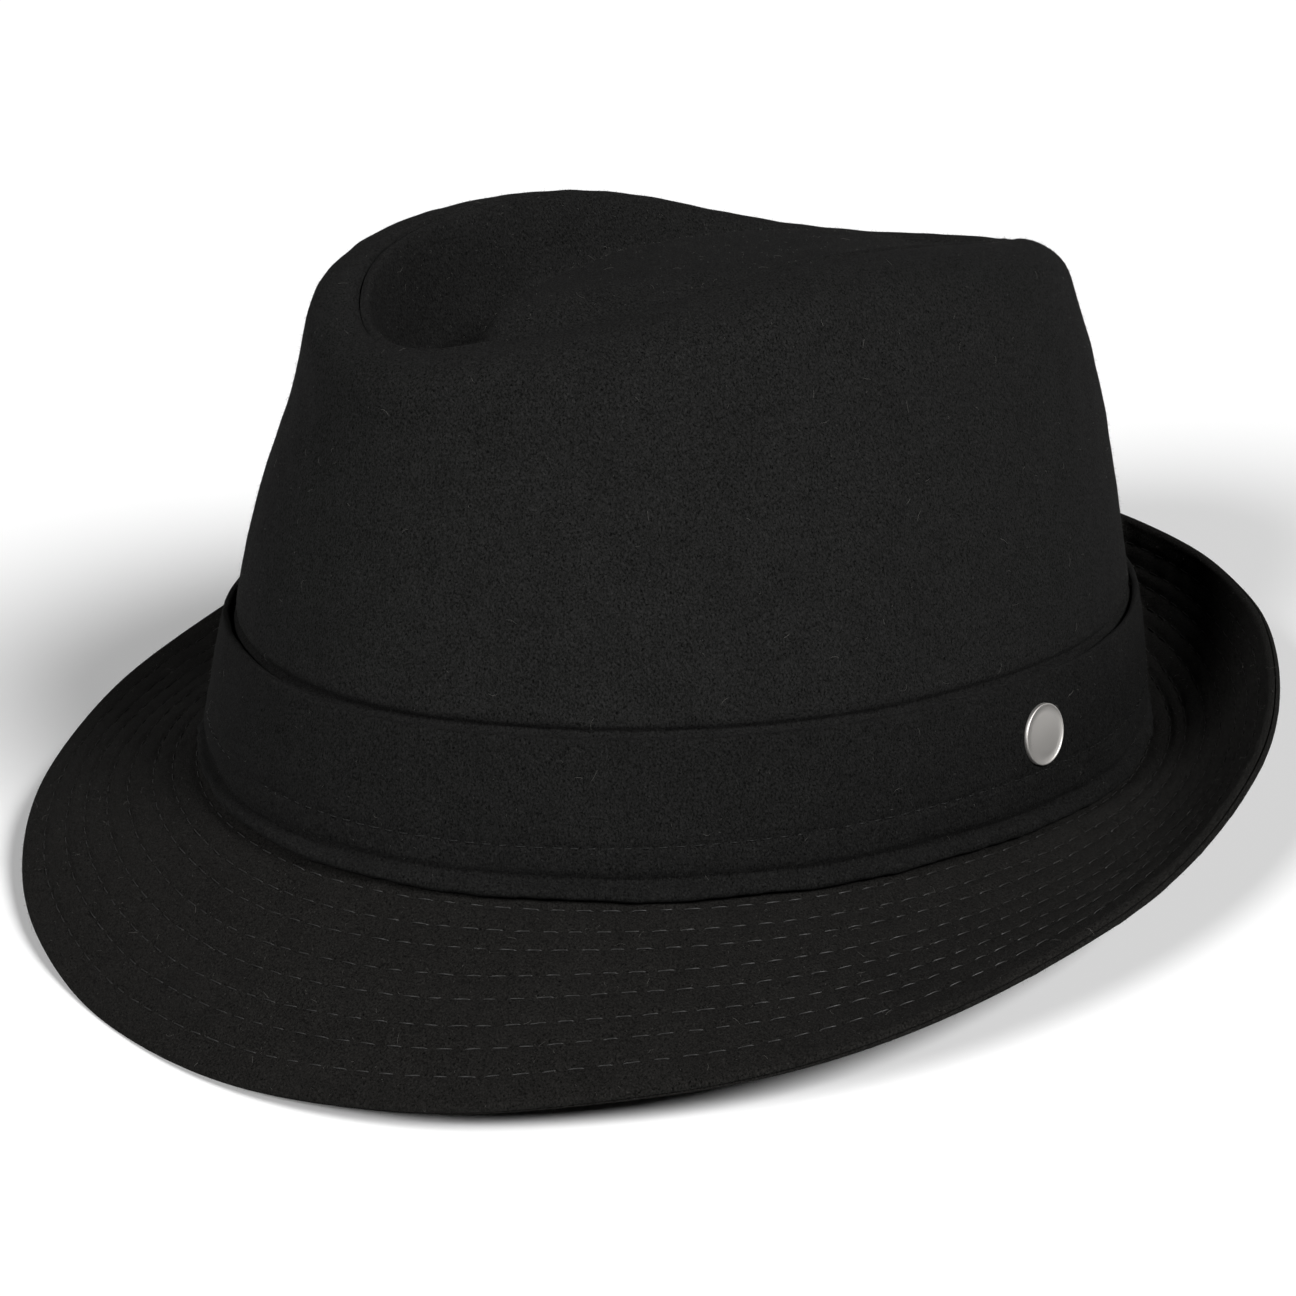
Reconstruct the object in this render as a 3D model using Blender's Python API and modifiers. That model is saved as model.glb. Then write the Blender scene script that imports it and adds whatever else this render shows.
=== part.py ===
"""Trilby of charcoal wool cloth: a crown of two panels, a band, a brim of two layers and a bare metal badge.

Metres, +Z up, the front of the hat toward -Y and the wearer's left toward +X.  Every shape is first worked out
with the head opening level, as the hat is worn.  The finished hat is then leaned back, to lie as a hat does on a
table: on the front edge of its brim and on the under side of the brim at the back.
"""
import math

import bmesh
import bpy
import numpy as np
from mathutils import Matrix, Vector

# Sizes of the head opening, measured to the outer face of the crown wall at its foot
HEAD_HALF_WIDTH = 0.0854
HEAD_FRONT = 0.1015
HEAD_BACK = 0.1087

# Crown
CROWN_HEIGHT = 0.1115
SHOULDER_RADIUS = 0.0078
SEAM_TURN_DEG = 100.0
SEAM_GAP = 0.00045
WALL_THICK = 0.0018
TIP_THICK = 0.0018
ISLAND_HEIGHT = 0.1035
ISLAND_BEND = 0.0100
VALLEY_DEPTH = 0.023
SPINE_HALF_LENGTH = 0.046
SPINE_HALF_WIDTH = 0.005

# The teardrop dent in the tip, as shares of the way from the spine to the seam: where its floor lies, how far
# its outer slope reaches, how far the island's flat top reaches at the back, and where the seam's lip starts
VALLEY_SHARE = 0.72
RIM_SHARE = 0.23
NOSE_SHARE = 0.30
LIP_START_SHARE = 0.20
LIP_WIDTH_SHARE = 0.70
# Its depth at the back as a share of the depth in front, how fast it fades, and how much deeper the right side is
BACK_DEPTH_SHARE = 0.12
FADE_POWER = 1.2
RIGHT_DEPTH_SHARE = 0.30
TIP_SHARES = (1.0, 0.96, 0.92, 0.88, 0.84, 0.79, 0.72, 0.62, 0.50, 0.38, 0.22, 0.0)

# Band, of the same cloth
BAND_HEIGHT = 0.0312
BAND_THICK = 0.0020
BAND_GAP = 0.0003

# Brim, two layers of cloth
BRIM_WIDTH = 0.0462
LAYER_THICK = 0.00135
LAYER_GAP = 0.0003
JOINT_GAP = 0.0003
FOOT_TUCK = 0.0010

# Badge, a bare disc with a raised edge
BADGE_RADIUS = 0.0063
BADGE_THICK = 0.0015
BADGE_LIP_WIDTH = 0.0007
BADGE_LIP_HEIGHT = 0.0004
BADGE_ANGLE_DEG = 14.4
BADGE_HEIGHT = 0.0191
BADGE_BEVEL = 0.00018
BADGE_SIDES = 48

# How far the soft brim gives where it touches the table
PRESS = 0.0004

# Pieces of each loft round the hat, and steps up the wall, over the shoulder, up the band and across the brim
STATIONS = 60
WALL_STEPS = 6
SHOULDER_STEPS = 5
BAND_STEPS = 3
BRIM_STEPS = 6
# Step in which the slope of the wall under the shoulder is read, as a share of the crown height
SLOPE_STEP_SHARE = 0.05
# The two inner points of the rounded edge of a brim layer, as shares of its quarter turn
EDGE_SHARES = (0.35, 0.75)
UP = Vector((0.0, 0.0, 1.0))

# Sections of the crown wall from its foot to the start of the shoulder:
# share of that height, then half width, front length and back length as shares of the head opening, squareness
CROWN_SECTIONS = (
    (0.00, 1.000, 1.000, 1.000, 2.10),
    (0.30, 0.942, 0.953, 0.977, 2.09),
    (0.60, 0.850, 0.904, 0.950, 2.07),
    (0.85, 0.740, 0.840, 0.917, 2.06),
    (1.00, 0.667, 0.823, 0.879, 2.05),
)

# Heights round the hat as shares of the crown height, every 45 degrees from the wearer's left to the back,
# the right and the front: the crest of the shoulder, then the foot
CREST_SHARES = (1.002, 0.931, 0.852, 0.846, 0.966, 0.954, 0.864, 0.924)
FOOT_SHARES = (-0.005, -0.030, 0.000, -0.030, -0.005, 0.012, 0.000, 0.012)

# Brim from the front by way of the side to the back:
# width as a share of the brim width, slope in degrees at the crown and at the edge
BRIM_SECTIONS = (
    (1.020, -37.4, -43.0),
    (1.015, -19.0, -31.5),
    (0.970, -16.9, 26.0),
    (0.760, 2.0, 73.6),
    (0.710, 9.6, 74.7),
)


def rounded(angle, values):
    """Smooth closed curve through evenly spaced values, the first of them at angle 0."""
    values = np.asarray(values, float)
    count = len(values)
    place = (np.asarray(angle) / (2 * math.pi) * count) % count
    i = np.floor(place).astype(int) % count
    f = place - np.floor(place)
    a, b, c, d = (values[(i + step) % count] for step in (-1, 0, 1, 2))
    return 0.5 * (2 * b + (c - a) * f + (2 * a - 5 * b + 4 * c - d) * f ** 2 + (3 * b - 3 * c + d - a) * f ** 3)


def both_sides(angle, values):
    """The same for values at the front, front quarter, side, back quarter and back of both sides."""
    front, front_quarter, side, back_quarter, back = values
    return rounded(angle, (side, back_quarter, back, back_quarter, side, front_quarter, front, front_quarter))


def along(share, column):
    """A column of the crown's sections at a share of the wall's height, as a natural cubic curve."""
    knots = np.array([row[0] for row in CROWN_SECTIONS])
    values = np.array([row[column] for row in CROWN_SECTIONS])
    steps = np.diff(knots)
    count = len(knots)
    matrix = np.eye(count)
    right = np.zeros(count)
    for i in range(1, count - 1):
        matrix[i, i - 1:i + 2] = steps[i - 1], 2 * (steps[i - 1] + steps[i]), steps[i]
        right[i] = 6 * ((values[i + 1] - values[i]) / steps[i] - (values[i] - values[i - 1]) / steps[i - 1])
    bend = np.linalg.solve(matrix, right)
    i = np.clip(np.searchsorted(knots, share) - 1, 0, count - 2)
    a = (knots[i + 1] - share) / steps[i]
    b = 1 - a
    curve = (a ** 3 - a) * bend[i] + (b ** 3 - b) * bend[i + 1]
    return a * values[i] + b * values[i + 1] + curve * steps[i] ** 2 / 6


def oval(half_width, front, back, squareness, angle):
    """Point of an egg-shaped oval."""
    cosine, sine = np.cos(angle), np.sin(angle)
    power = 2 / squareness
    x = half_width * np.sign(cosine) * np.abs(cosine) ** power
    y = np.where(sine > 0, back, front) * np.sign(sine) * np.abs(sine) ** power
    return x, y


def eased(share):
    """0 up to 0 and 1 from 1 on, with a smooth rise between."""
    share = np.clip(share, 0.0, 1.0)
    return share ** 2 * (3 - 2 * share)


def crest(angle):
    return CROWN_HEIGHT * rounded(angle, CREST_SHARES)


def foot(angle):
    return CROWN_HEIGHT * rounded(angle, FOOT_SHARES)


def outward(x, y):
    """Unit normals of a closed ring of points, in plan."""
    along_x = np.roll(x, -1, -1) - np.roll(x, 1, -1)
    along_y = np.roll(y, -1, -1) - np.roll(y, 1, -1)
    length = np.hypot(along_x, along_y)
    return along_y / length, -along_x / length


def wall_ring(height, angle, out=0.0):
    """Ring on the crown wall, or standing off it, at a height above its foot."""
    low = foot(angle)
    share = (height - low) / (crest(angle) - SHOULDER_RADIUS - low)
    x, y = oval(HEAD_HALF_WIDTH * along(share, 1), HEAD_FRONT * along(share, 2), HEAD_BACK * along(share, 3),
                along(share, 4), angle)
    if out:
        across, down = outward(x, y)
        x, y = x + across * out, y + down * out
    return np.stack([x, y, np.broadcast_to(height, x.shape)], -1)


def shoulder_rings(angle):
    """Rings from the top of the wall over the shoulder to the seam."""
    seam_turn = math.radians(SEAM_TURN_DEG)
    top_height = crest(angle) - SHOULDER_RADIUS
    top = wall_ring(top_height, angle)
    below = wall_ring(top_height - SLOPE_STEP_SHARE * CROWN_HEIGHT, angle)
    across, down = outward(top[:, 0], top[:, 1])
    lean_in = (below - top)[:, 0] * across + (below - top)[:, 1] * down
    lean = np.arctan2(lean_in, (top - below)[:, 2])
    radius = SHOULDER_RADIUS / (1 - np.sin(lean))
    rings = []
    for k in range(1, SHOULDER_STEPS + 1):
        turn = lean + (seam_turn - lean) * k / SHOULDER_STEPS
        inward = radius * (np.cos(lean) - np.cos(turn))
        rise = radius * (np.sin(turn) - np.sin(lean))
        rings.append(np.stack([top[:, 0] - across * inward, top[:, 1] - down * inward, top[:, 2] + rise], -1))
    return rings


def brim_frames(angle):
    """Points of the brim's upper face from the crown to the edge, with the normal and the way out at each.

    Next to the crown the normal is upright, so that the brim's inner edge follows the crown wall."""
    low = foot(angle)
    start = wall_ring(low, angle)
    across, down = outward(start[:, 0], start[:, 1])
    width = BRIM_WIDTH * both_sides(angle, [row[0] for row in BRIM_SECTIONS])
    inner = np.radians(both_sides(angle, [row[1] for row in BRIM_SECTIONS]))
    outer = np.radians(both_sides(angle, [row[2] for row in BRIM_SECTIONS]))
    reach = np.full(angle.shape, JOINT_GAP)
    rise = np.zeros(angle.shape)
    frames = []
    for k in range(BRIM_STEPS + 1):
        slope = inner + (outer - inner) * k / BRIM_STEPS
        if k:
            middle = inner + (outer - inner) * (k - 0.5) / BRIM_STEPS
            reach = reach + np.cos(middle) * width / BRIM_STEPS
            rise = rise + np.sin(middle) * width / BRIM_STEPS
        point = np.stack([start[:, 0] + across * reach, start[:, 1] + down * reach, low + rise], -1)
        normal = np.stack([-across * np.sin(slope), -down * np.sin(slope), np.cos(slope)], -1)
        if k == 0:
            normal = np.stack([0 * slope, 0 * slope, 1 / np.cos(slope)], -1)
        outwards = np.stack([across * np.cos(slope), down * np.cos(slope), np.sin(slope)], -1)
        frames.append((point, normal, outwards))
    return frames


def angles():
    return np.arange(STATIONS) * 2 * math.pi / STATIONS


def clean_collection():
    for item in list(bpy.data.objects):
        bpy.data.objects.remove(item, do_unlink=True)
    group = bpy.data.collections.new("trilby")
    bpy.context.scene.collection.children.link(group)
    return group


def material(name, colour, roughness, metallic=0.0):
    item = bpy.data.materials.new(name)
    item.use_nodes = True
    shader = item.node_tree.nodes["Principled BSDF"]
    shader.inputs["Base Color"].default_value = (*colour, 1.0)
    shader.inputs["Roughness"].default_value = roughness
    shader.inputs["Metallic"].default_value = metallic
    return item


def add_object(name, points, faces, finish, group):
    mesh = bpy.data.meshes.new(name)
    mesh.from_pydata([tuple(point) for point in points], [], faces)
    mesh.update()
    mesh.shade_smooth()
    mesh.set_sharp_from_angle(angle=math.radians(50.0))
    mesh.materials.append(finish)
    item = bpy.data.objects.new(name, mesh)
    group.objects.link(item)
    return item


def loft_closed(name, loop, fold, finish, group):
    """Solid ring: each entry of loop is one ring round the hat, and the entries close round the section.

    From the entry fold on the section runs back, and the diagonals turn with it, so that the facing sides of
    two layers have the same facets."""
    points = np.concatenate(loop)
    rows = len(loop)
    faces = []
    for row in range(rows):
        following = (row + 1) % rows
        for k in range(STATIONS):
            right = (k + 1) % STATIONS
            a, b = row * STATIONS + k, row * STATIONS + right
            c, d = following * STATIONS + right, following * STATIONS + k
            faces += [(a, b, c), (a, c, d)] if row < fold else [(a, b, d), (b, c, d)]
    return add_object(name, points, faces, finish, group)


def crown_side(finish, group):
    """Side panel: an open loft from the foot over the shoulder to the seam, with Solidify for its cloth."""
    turn = angles()
    low = foot(turn)
    top = crest(turn) - SHOULDER_RADIUS
    below = LAYER_THICK * 2 + LAYER_GAP - FOOT_TUCK
    rings = [wall_ring(low, turn) - np.array([0.0, 0.0, below])]
    rings += [wall_ring(low + (top - low) * k / WALL_STEPS, turn) for k in range(WALL_STEPS + 1)]
    rings += shoulder_rings(turn)
    points = np.concatenate(rings)
    faces = []
    for row in range(len(rings) - 1):
        for k in range(STATIONS):
            right = (k + 1) % STATIONS
            faces.append((row * STATIONS + k, row * STATIONS + right,
                          (row + 1) * STATIONS + right, (row + 1) * STATIONS + k))
    item = add_object("crown_side", points, faces, finish, group)
    cloth = item.modifiers.new("cloth", "SOLIDIFY")
    cloth.thickness = WALL_THICK
    cloth.offset = -1.0
    return item


def tip_ring(seam, share, turn):
    """Ring of the tip at a share of the way from its spine to the seam, with the teardrop dent in it."""
    middle = seam[:, 1].mean()
    spine_x = SPINE_HALF_WIDTH * np.cos(turn)
    spine_y = middle + SPINE_HALF_LENGTH * np.sin(turn)
    x = spine_x + (seam[:, 0] - spine_x) * share
    y = spine_y + (seam[:, 1] - spine_y) * share
    reach = np.abs(seam[:, 1] - middle).max()
    lengthwise = (y - middle) / reach
    island = ISLAND_HEIGHT - ISLAND_BEND * lengthwise ** 2
    lip = seam[:, 2] + np.hypot(seam[:, 0] - x, seam[:, 1] - y) / math.tan(math.radians(SEAM_TURN_DEG))
    blend = eased((share - LIP_START_SHARE) / LIP_WIDTH_SHARE)
    surface = island * (1 - blend) + lip * blend
    frontness = 0.5 - 0.5 * np.sin(turn)
    deep = BACK_DEPTH_SHARE + (1 - BACK_DEPTH_SHARE) * frontness ** FADE_POWER
    deep = deep * (1 - RIGHT_DEPTH_SHARE * np.cos(turn))
    nose = NOSE_SHARE * (1 - frontness)
    inner_slope = eased((share - nose) / (VALLEY_SHARE - nose))
    outer_slope = 1 - eased((share - VALLEY_SHARE) / RIM_SHARE)
    return np.stack([x, y, surface - VALLEY_DEPTH * deep * inner_slope * outer_slope], -1)


def crown_tip(finish, group):
    """Top panel: an open sheet inside the seam, with Solidify for its cloth."""
    turn = angles()
    seam = shoulder_rings(turn)[-1]
    across, down = outward(seam[:, 0], seam[:, 1])
    fall = np.full(turn.shape, 1 / math.tan(math.radians(SEAM_TURN_DEG)))
    seam = seam + np.stack([-across, -down, fall], -1) * SEAM_GAP
    rings = [tip_ring(seam, share, turn) for share in TIP_SHARES]
    points = np.concatenate(rings)
    faces = []
    for row in range(len(rings) - 1):
        for k in range(STATIONS):
            right = (k + 1) % STATIONS
            faces.append((row * STATIONS + k, row * STATIONS + right,
                          (row + 1) * STATIONS + right, (row + 1) * STATIONS + k))
    last = (len(rings) - 1) * STATIONS
    quarter = STATIONS // 4
    for k in range(-quarter, quarter):
        a, b = k % STATIONS, (k + 1) % STATIONS
        c, d = (STATIONS // 2 - k - 1) % STATIONS, (STATIONS // 2 - k) % STATIONS
        corners = [a, b, c, d]
        corners = [corner for n, corner in enumerate(corners) if corner not in corners[:n]]
        faces.append(tuple(last + corner for corner in corners))
    item = add_object("crown_tip", points, faces, finish, group)
    cloth = item.modifiers.new("cloth", "SOLIDIFY")
    cloth.thickness = TIP_THICK
    cloth.offset = -1.0
    return item


def hat_band(finish, group):
    """Strip of cloth round the foot of the crown, standing just clear of the wall and of the brim."""
    turn = angles()
    low = foot(turn)
    slope = np.radians(both_sides(turn, [row[1] for row in BRIM_SECTIONS]))
    lift = np.maximum(np.tan(slope), 0.0) * (BAND_GAP + BAND_THICK) + BAND_GAP
    levels = [low + lift + (BAND_HEIGHT - lift) * k / BAND_STEPS for k in range(BAND_STEPS + 1)]
    inner = [wall_ring(level, turn, BAND_GAP) for level in levels]
    outer = [wall_ring(level, turn, BAND_GAP + BAND_THICK) for level in levels]
    return loft_closed("hat_band", outer + inner[::-1], len(outer), finish, group)


def brim_layer(name, top_depth, bottom_depth, round_top, finish, group):
    """One layer of the brim, between two depths under its upper face, with its edge rounded on one side."""
    frames = brim_frames(angles())
    upper = [point - normal * top_depth for point, normal, outwards in frames]
    lower = [point - normal * bottom_depth for point, normal, outwards in frames]
    point, normal, outwards = frames[-1]
    thick = bottom_depth - top_depth
    bulge = []
    for share in EDGE_SHARES:
        out = thick * math.sin(share * math.pi / 2)
        fall = thick * (1 - math.cos(share * math.pi / 2))
        depth = top_depth + fall if round_top else bottom_depth - fall
        bulge.append(point - normal * depth + outwards * out)
    if not round_top:
        bulge = bulge[::-1]
    flat = point - normal * (bottom_depth if round_top else top_depth) + outwards * thick
    edge = bulge + [flat] if round_top else [flat] + bulge
    loop = upper + edge + lower[::-1]
    return loft_closed(name, loop[::-1], len(lower), finish, group)


def badge(finish, group):
    """Bare disc with a raised edge, its back against the band.

    It stands square to the wall, whose slopes are read over the disc's own width and height."""
    spread = BADGE_RADIUS / HEAD_HALF_WIDTH
    turn = math.radians(BADGE_ANGLE_DEG) + np.array([-spread, 0.0, spread])
    out = BAND_GAP + BAND_THICK + BAND_GAP
    height = foot(turn) + BADGE_HEIGHT
    low, high = wall_ring(height - BADGE_RADIUS, turn), wall_ring(height + BADGE_RADIUS, turn)
    middle = wall_ring(height, turn)
    sideways = Vector(middle[2] - middle[0]).normalized()
    upwards = Vector(high[1] - low[1]).normalized()
    normal = sideways.cross(upwards).normalized()
    upwards = normal.cross(sideways)
    place = Vector(middle[1]) + normal * out
    body = bmesh.new()
    bmesh.ops.create_cone(body, cap_ends=True, segments=BADGE_SIDES, radius1=BADGE_RADIUS, radius2=BADGE_RADIUS,
                          depth=BADGE_THICK)
    bmesh.ops.translate(body, verts=body.verts, vec=UP * BADGE_THICK / 2)
    body.faces.ensure_lookup_table()
    top = [max(body.faces, key=lambda face: face.calc_center_median().z)]
    bmesh.ops.inset_region(body, faces=top, thickness=BADGE_LIP_WIDTH)
    bmesh.ops.translate(body, verts=list({corner for face in top for corner in face.verts}),
                        vec=-UP * BADGE_LIP_HEIGHT)
    mesh = bpy.data.meshes.new("badge")
    body.to_mesh(mesh)
    body.free()
    mesh.shade_smooth()
    mesh.set_sharp_from_angle(angle=math.radians(40.0))
    mesh.materials.append(finish)
    item = bpy.data.objects.new("badge", mesh)
    group.objects.link(item)
    edge = item.modifiers.new("edge", "BEVEL")
    edge.width = BADGE_BEVEL
    edge.segments = 2
    axes = Matrix((sideways, upwards, normal)).transposed().to_4x4()
    item.matrix_world = Matrix.Translation(place) @ axes
    return item


def lean_back(items):
    """Turn the hat about X until its brim touches down in front and behind, and stand it on z = 0."""
    under = items["brim_under"]
    points = np.array([vertex.co for vertex in under.data.vertices])

    def heights(tilt):
        return points[:, 2] * math.cos(tilt) - points[:, 1] * math.sin(tilt)

    low_tilt, high_tilt = 0.0, math.radians(30.0)
    for _ in range(40):
        tilt = (low_tilt + high_tilt) / 2
        z = heights(tilt)
        if z[points[:, 1] < 0].min() < z[points[:, 1] > 0].min():
            low_tilt = tilt
        else:
            high_tilt = tilt
    turn = Matrix.Rotation(-tilt, 4, "X")
    floor = heights(tilt).min() + PRESS
    for item in items.values():
        item.matrix_world = Matrix.Translation((0.0, 0.0, -floor)) @ turn @ item.matrix_world
    bpy.context.view_layer.update()
    for name in ("brim_under", "brim_top"):
        item = items[name]
        item.data.transform(item.matrix_world)
        item.matrix_world = Matrix.Identity(4)
        for vertex in item.data.vertices:
            vertex.co.z = max(vertex.co.z, 0.0)
    bpy.context.view_layer.update()
    corners = [item.matrix_world @ Vector(corner) for item in items.values() for corner in item.bound_box]
    centre = Vector([(max(c[k] for c in corners) + min(c[k] for c in corners)) / 2 for k in range(2)] + [0.0])
    for item in items.values():
        item.matrix_world = Matrix.Translation(-centre) @ item.matrix_world


def main():
    group = clean_collection()
    cloth = material("charcoal_wool", (0.017, 0.017, 0.018), 0.95)
    band_cloth = material("band_wool", (0.015, 0.015, 0.016), 0.95)
    brim_cloth = material("brim_wool", (0.014, 0.0135, 0.013), 0.95)
    metal = material("satin_metal", (0.34, 0.32, 0.30), 0.42, 1.0)
    layer = LAYER_THICK + LAYER_GAP
    items = {}
    items["crown_side"] = crown_side(cloth, group)
    items["crown_tip"] = crown_tip(cloth, group)
    items["hat_band"] = hat_band(band_cloth, group)
    items["brim_top"] = brim_layer("brim_top", 0.0, LAYER_THICK, True, brim_cloth, group)
    items["brim_under"] = brim_layer("brim_under", layer, layer + LAYER_THICK, False, brim_cloth, group)
    items["badge"] = badge(metal, group)
    lean_back(items)


main()
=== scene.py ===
"""Looks of the trilby: napped charcoal wool, quilted brim, topstitched band, seamed crown and satin badge.

Metres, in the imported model's frame: +Z up from the table, the front of the hat toward -Y, the wearer's left
toward +X.  Every cloth surface is worked out with the head opening level, as the solids are, and then leaned
back to lie where they lie.
"""
import math

import bpy
import numpy as np
from mathutils import Matrix, Vector


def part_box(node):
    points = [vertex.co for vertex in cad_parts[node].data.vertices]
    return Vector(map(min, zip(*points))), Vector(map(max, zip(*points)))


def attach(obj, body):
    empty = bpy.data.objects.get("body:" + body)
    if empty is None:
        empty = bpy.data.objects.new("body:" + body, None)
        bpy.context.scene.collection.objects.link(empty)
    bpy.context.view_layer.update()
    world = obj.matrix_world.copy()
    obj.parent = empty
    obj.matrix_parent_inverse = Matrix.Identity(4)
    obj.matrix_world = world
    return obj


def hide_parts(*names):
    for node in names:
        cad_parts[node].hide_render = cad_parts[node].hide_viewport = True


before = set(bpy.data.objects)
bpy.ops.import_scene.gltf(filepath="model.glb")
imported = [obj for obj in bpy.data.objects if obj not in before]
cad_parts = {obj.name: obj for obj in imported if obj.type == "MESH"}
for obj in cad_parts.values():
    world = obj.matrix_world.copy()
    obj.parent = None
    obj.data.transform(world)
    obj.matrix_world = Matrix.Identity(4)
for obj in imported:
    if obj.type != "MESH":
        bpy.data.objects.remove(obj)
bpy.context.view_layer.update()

# Camera, matched to the photograph
CAMERA_AZIMUTH = math.radians(54.08)
CAMERA_ELEVATION = math.radians(24.51)
CAMERA_ROLL = math.radians(-4.90)
CAMERA_PLACE = Vector((0.55735, -0.40654, 0.34973))
CAMERA_LENS = 99.3

# Light: azimuth and elevation in degrees and strength of two broad soft lamps, and a faint light all round
LAMPS = {"key": (100.0, 38.0, 3.84), "fill": (10.0, 38.0, 2.35)}
LAMP_SPREAD = math.radians(20.0)
WORLD_STRENGTH = 0.01
WORLD_COLOUR = (1.0, 0.985, 0.96, 1.0)
FLOOR_HALF = 4.0
FLOOR_COLOUR = (0.86, 0.86, 0.86, 1.0)

# Colours: each cloth's body and the tips of its nap, then fibres, threads and metal
CROWN_COLOURS = (0.0098, 0.0098, 0.0095), (0.0322, 0.0322, 0.0314)
BAND_COLOURS = (0.0089, 0.0089, 0.0086), (0.0271, 0.0271, 0.0264)
BRIM_COLOURS = (0.0070, 0.0067, 0.0063), (0.0318, 0.0306, 0.0286)
# Share of each cloth's body colour painted into the hollows of its grain as painted shade
HOLLOW_SHADE = 0.12
DARK_FIBRE_COLOUR = (0.0390, 0.0380, 0.0360)
PALE_FIBRE_COLOUR = (0.16, 0.155, 0.145)
BRIM_THREAD_COLOUR = (0.0140, 0.0137, 0.0133)
BAND_THREAD_COLOUR = (0.0080, 0.0080, 0.0078)
METAL_COLOUR = (0.64, 0.62, 0.595)

# Sizes of the head opening and of the crown, as the solids have them
HEAD_HALF_WIDTH = 0.0854
HEAD_FRONT = 0.1015
HEAD_BACK = 0.1087
CROWN_HEIGHT = 0.1115
SHOULDER_RADIUS = 0.0078
SEAM_TURN = math.radians(100.0)
SEAM_GAP = 0.00045
CLOTH_THICK = 0.0018
ISLAND_HEIGHT = 0.1035
ISLAND_BEND = 0.0100
VALLEY_DEPTH = 0.023
SPINE_HALF_LENGTH = 0.046
SPINE_HALF_WIDTH = 0.005
VALLEY_SHARE = 0.72
RIM_SHARE = 0.23
NOSE_SHARE = 0.30
LIP_START_SHARE = 0.20
LIP_WIDTH_SHARE = 0.70
BACK_DEPTH_SHARE = 0.12
FADE_POWER = 1.2
RIGHT_DEPTH_SHARE = 0.30

# Band and brim
BAND_HEIGHT = 0.0312
BAND_THICK = 0.0020
BAND_GAP = 0.0003
BRIM_WIDTH = 0.0462
LAYER_THICK = 0.00135
LAYER_GAP = 0.0003
JOINT_GAP = 0.0003
FOOT_TUCK = 0.0010
PRESS = 0.0004

# Crown wall from its foot to the start of the shoulder: share of that height, then half width, front length and
# back length as shares of the head opening, squareness
CROWN_SECTIONS = (
    (0.00, 1.000, 1.000, 1.000, 2.10),
    (0.30, 0.942, 0.953, 0.977, 2.09),
    (0.60, 0.850, 0.904, 0.950, 2.07),
    (0.85, 0.740, 0.840, 0.917, 2.06),
    (1.00, 0.667, 0.823, 0.879, 2.05),
)
# Crest of the shoulder and foot of the wall as shares of the crown height, every 45 degrees from the wearer's
# left by way of the back
CREST_SHARES = (1.002, 0.931, 0.852, 0.846, 0.966, 0.954, 0.864, 0.924)
FOOT_SHARES = (-0.005, -0.030, 0.000, -0.030, -0.005, 0.012, 0.000, 0.012)
# Brim from the front by way of the side to the back: width share, slope in degrees at the crown and at the edge
BRIM_SECTIONS = (
    (1.020, -37.4, -43.0),
    (1.015, -19.0, -31.5),
    (0.970, -16.9, 26.0),
    (0.760, 2.0, 73.6),
    (0.710, 9.6, 74.7),
)

# Badge
BADGE_RADIUS = 0.0063
BADGE_ANGLE = math.radians(14.4)
BADGE_HEIGHT = 0.0191
# From the back of the disc over its rim to its face: share of the radius, height over the band
BADGE_PROFILE = (
    (0.4, -0.0004), (0.97, -0.0004), (1.0, -0.0002), (1.0, 0.00046), (0.992, 0.00056), (0.975, 0.00062),
    (0.955, 0.00060), (0.938, 0.00052), (0.925, 0.00046), (0.7, 0.00046), (0.3, 0.00046),
)

# Stitching: rows of the brim as shares of its width, and height of the band's row from the front to the back
QUILT_SHARES = (0.066, 0.188, 0.287, 0.419, 0.531, 0.655, 0.760, 0.883)
QUILT_DEPTH = 0.00024
QUILT_HALF_WIDTH = 0.00075
QUILT_PUFF = 0.00006
STITCH_PITCH = 0.0052
STITCH_LENGTH = 0.0041
THREAD_RADIUS = 0.00012
THREAD_SLANT = 0.00006
TOPSTITCH_HEIGHTS = (0.0102, 0.0104, 0.0118, 0.0118, 0.0110)
TOPSTITCH_PITCH = 0.0034
TOPSTITCH_LENGTH = 0.0022

# Relief of the cloth.  A pair is where a change starts and the length over which it comes
ROLL_HEIGHT = 0.0034
ROLL_BULGE = 0.0009
CREASE_DEPTH = 0.0012
CREASE_RISE = 0.0006
CREASE_HALF_WIDTH = 0.0012
TUCK_DEPTH = 0.0007
TUCK_HALF_WIDTH = 0.0007
GROOVE_DEPTH = 0.0003
GROOVE_HALF_WIDTH = 0.0007
FILL = 0.00018
FILL_RISES = (0.005, 0.006)
FILL_FALLS = (0.020, 0.011)
BAND_EDGE_THICK = 0.0018
EDGE_START = 0.024
NOTCH_ANGLE = math.radians(-62.0)
NOTCH_WIDTH = 0.0009
NOTCH_DEPTH = 0.0006
NOTCH_HOLLOW = 0.00035
NOTCH_DEEPENS = (0.022, 0.009)
NOTCH_DROPS = (0.029, 0.002)
SEAM_FALL = 0.0005
SIDE_FALL_WIDTH = 0.0006
TIP_FALL_WIDTH = 0.0005
TIP_INSET_SHARE = 0.6
SEAM_RIDGE = 0.00035
RIDGE_PLACE = 0.0012
RIDGE_HALF_WIDTH = 0.0009
PINCH_DEPTH = 0.00120
PINCH_RISE = 0.0004
PINCH_HALF_WIDTH = 0.0009
SETTLE_SHARE = 0.2
SETTLE_PASSES = 18
SETTLE_REACH = 0.015

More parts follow.
